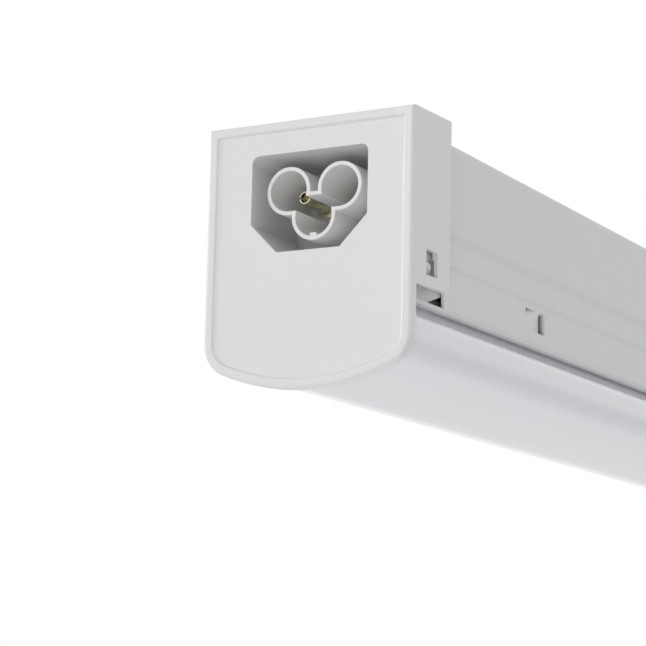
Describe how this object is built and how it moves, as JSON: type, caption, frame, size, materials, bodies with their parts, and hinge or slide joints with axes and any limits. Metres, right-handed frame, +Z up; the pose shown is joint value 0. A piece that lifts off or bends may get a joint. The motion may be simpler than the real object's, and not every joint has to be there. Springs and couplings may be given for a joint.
{
  "type": "led strip light fixture",
  "caption": "Straight ceiling light: folded steel channel, opal diffuser, LED tray and driver, with link sockets in moulded end caps.",
  "frame": {"origin": "outer face of the channel back, in the middle between the two ceiling slots", "axes": "+Y along the fixture from the socket end to the inlet end, +X across it, +Z up out of the channel back"},
  "size_m": [0.0618, 1.2, 0.07],
  "materials": {
    "enamel": "satin white powder coat",
    "cap_plastic": "glossy moulded ABS",
    "insert_plastic": "semi-gloss moulded polyamide",
    "opal": "glossy opal polycarbonate",
    "board_white": "white solder mask on a laminate board",
    "led_yellow": "phosphor under a clear window",
    "zinc": "zinc-plated steel",
    "brass": "drawn brass, slightly dulled",
    "tinned_copper": "tin-plated",
    "connector_ivory": "moulded nylon",
    "grommet_rubber": "matt rubber",
    "driver_plastic": "fine-grained polycarbonate",
    "board_green": "green solder mask on a laminate board",
    "ferrite": "sintered ferrite with yellow tape",
    "copper": "enamelled copper wire",
    "capacitor_sleeve": "shrink sleeve with a bare aluminium top",
    "chip_black": "moulded epoxy",
    "terminal_grey": "moulded nylon",
    "wire_black": "PVC insulation",
    "wire_white": "PVC insulation",
    "wire_green": "PVC insulation",
    "lead_red": "PVC insulation"
  },
  "bodies": {
    "chassis": {"channel_back": "enamel", "channel_left_side": "enamel", "channel_right_side": "enamel", "channel_left_flange": "enamel", "channel_right_flange": "enamel", "led_tray": "enamel", "tray_left_side": "enamel", "tray_right_side": "enamel", "near_led_board": "board_white", "far_led_board": "board_white", "near_leds": "led_yellow", "far_leds": "led_yellow", "board_rivets": "zinc", "board_jumper": "connector_ivory", "board_terminal": "connector_ivory", "lead_grommet": "grommet_rubber", "driver_case": "driver_plastic", "driver_cover": "driver_plastic", "driver_board": "board_green", "driver_transformer": "ferrite", "driver_coils": "copper", "driver_capacitors": "capacitor_sleeve", "driver_chips": "chip_black", "input_terminal": "terminal_grey", "output_terminal": "terminal_grey", "driver_screws": "zinc", "earth_screw": "zinc", "earth_rings": "tinned_copper", "wire_clips": "connector_ivory", "near_live_wire": "wire_black", "near_neutral_wire": "wire_white", "near_earth_wire": "wire_green", "far_live_wire": "wire_black", "far_neutral_wire": "wire_white", "far_earth_wire": "wire_green", "positive_lead": "lead_red", "negative_lead": "wire_black"},
    "near_cap": {"near_end_cap": "cap_plastic", "near_cap_plug": "cap_plastic", "near_socket_insert": "insert_plastic", "near_live_sleeve": "brass", "near_neutral_sleeve": "brass", "near_earth_sleeve": "brass", "near_insert_screws": "zinc"},
    "far_cap": {"far_end_cap": "cap_plastic", "far_cap_plug": "cap_plastic", "far_inlet_insert": "insert_plastic", "far_live_pin": "brass", "far_neutral_pin": "brass", "far_earth_pin": "brass", "far_insert_screws": "zinc"},
    "diffuser": {"diffuser_lens": "opal", "diffuser_left_side": "opal", "diffuser_right_side": "opal"}
  },
  "joints": [
    {"name": "near_cap_pull", "type": "slide", "parent": "chassis", "child": "near_cap", "axis": [0, -1, 0], "range_m": [0, 0.045]},
    {"name": "far_cap_pull", "type": "slide", "parent": "chassis", "child": "far_cap", "axis": [0, 1, 0], "range_m": [0, 0.045]},
    {"name": "diffuser_drop", "type": "slide", "parent": "chassis", "child": "diffuser", "axis": [0, 0, -1], "range_m": [0, 0.04]}
  ]
}
